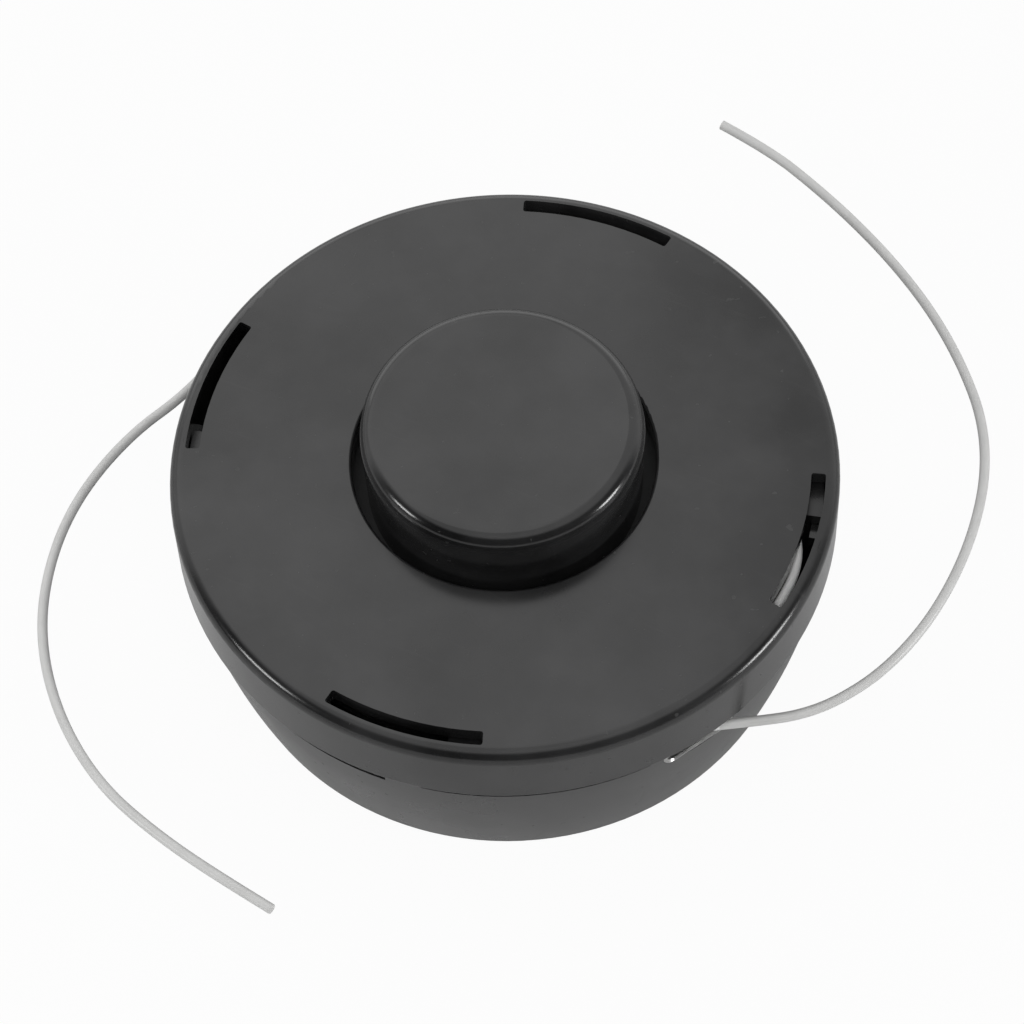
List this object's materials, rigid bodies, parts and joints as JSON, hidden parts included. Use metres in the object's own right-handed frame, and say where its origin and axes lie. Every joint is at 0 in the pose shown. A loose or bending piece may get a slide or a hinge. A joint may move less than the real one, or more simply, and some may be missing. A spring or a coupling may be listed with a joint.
{
  "type": "trimmer head",
  "caption": "Round bump-feed trimmer head with a bayonet cap, a spring-loaded knob and spool, and nylon line leaving through metal eyelets on opposite sides.",
  "frame": {"origin": "centre of the drive-side foot ring, on the axis of spin, at the plane that the head rests on", "axes": "+Z is the axis of spin, from the drive side towards the knob; the first outlet lies 57 degrees clockwise of +X, seen from the knob"},
  "size_m": [0.1878, 0.1762, 0.0635],
  "materials": {
    "black_plastic": "semi-gloss moulded black plastic",
    "spool_plastic": "matt moulded black plastic",
    "zinc_steel": "turned and zinc plated",
    "spring_steel": "drawn wire",
    "eyelet_metal": "bright",
    "nylon_line": "translucent off-white nylon"
  },
  "bodies": {
    "head": {"housing": "black_plastic", "hub_insert": "zinc_steel", "eyelet_right": "eyelet_metal", "eyelet_left": "eyelet_metal", "spring": "spring_steel", "line_right": "nylon_line", "line_left": "nylon_line", "lead_right": "nylon_line", "lead_left": "nylon_line"},
    "cap": {"cap": "black_plastic"},
    "spring_seat": {"thrust_washer": "zinc_steel"},
    "spool": {"spool": "spool_plastic", "bump_knob": "black_plastic", "winding_upper": "nylon_line", "winding_lower": "nylon_line"}
  },
  "joints": [
    {"name": "cap_turn", "type": "hinge", "parent": "head", "child": "cap", "pos_m": [0, 0, 0.04], "axis": [0, 0, 1], "range_deg": [0, 16]},
    {"name": "bump_press", "type": "slide", "parent": "head", "child": "spring_seat", "axis": [0, 0, -1], "range_m": [0, 0.006], "stiffness_N_per_m": 2500, "springref_m": -0.012, "deforming": ["spring"]},
    {"name": "spool_turn", "type": "hinge", "parent": "spring_seat", "child": "spool", "pos_m": [0, 0, 0.03], "axis": [0, 0, 1], "range_deg": [-38, 0]}
  ]
}
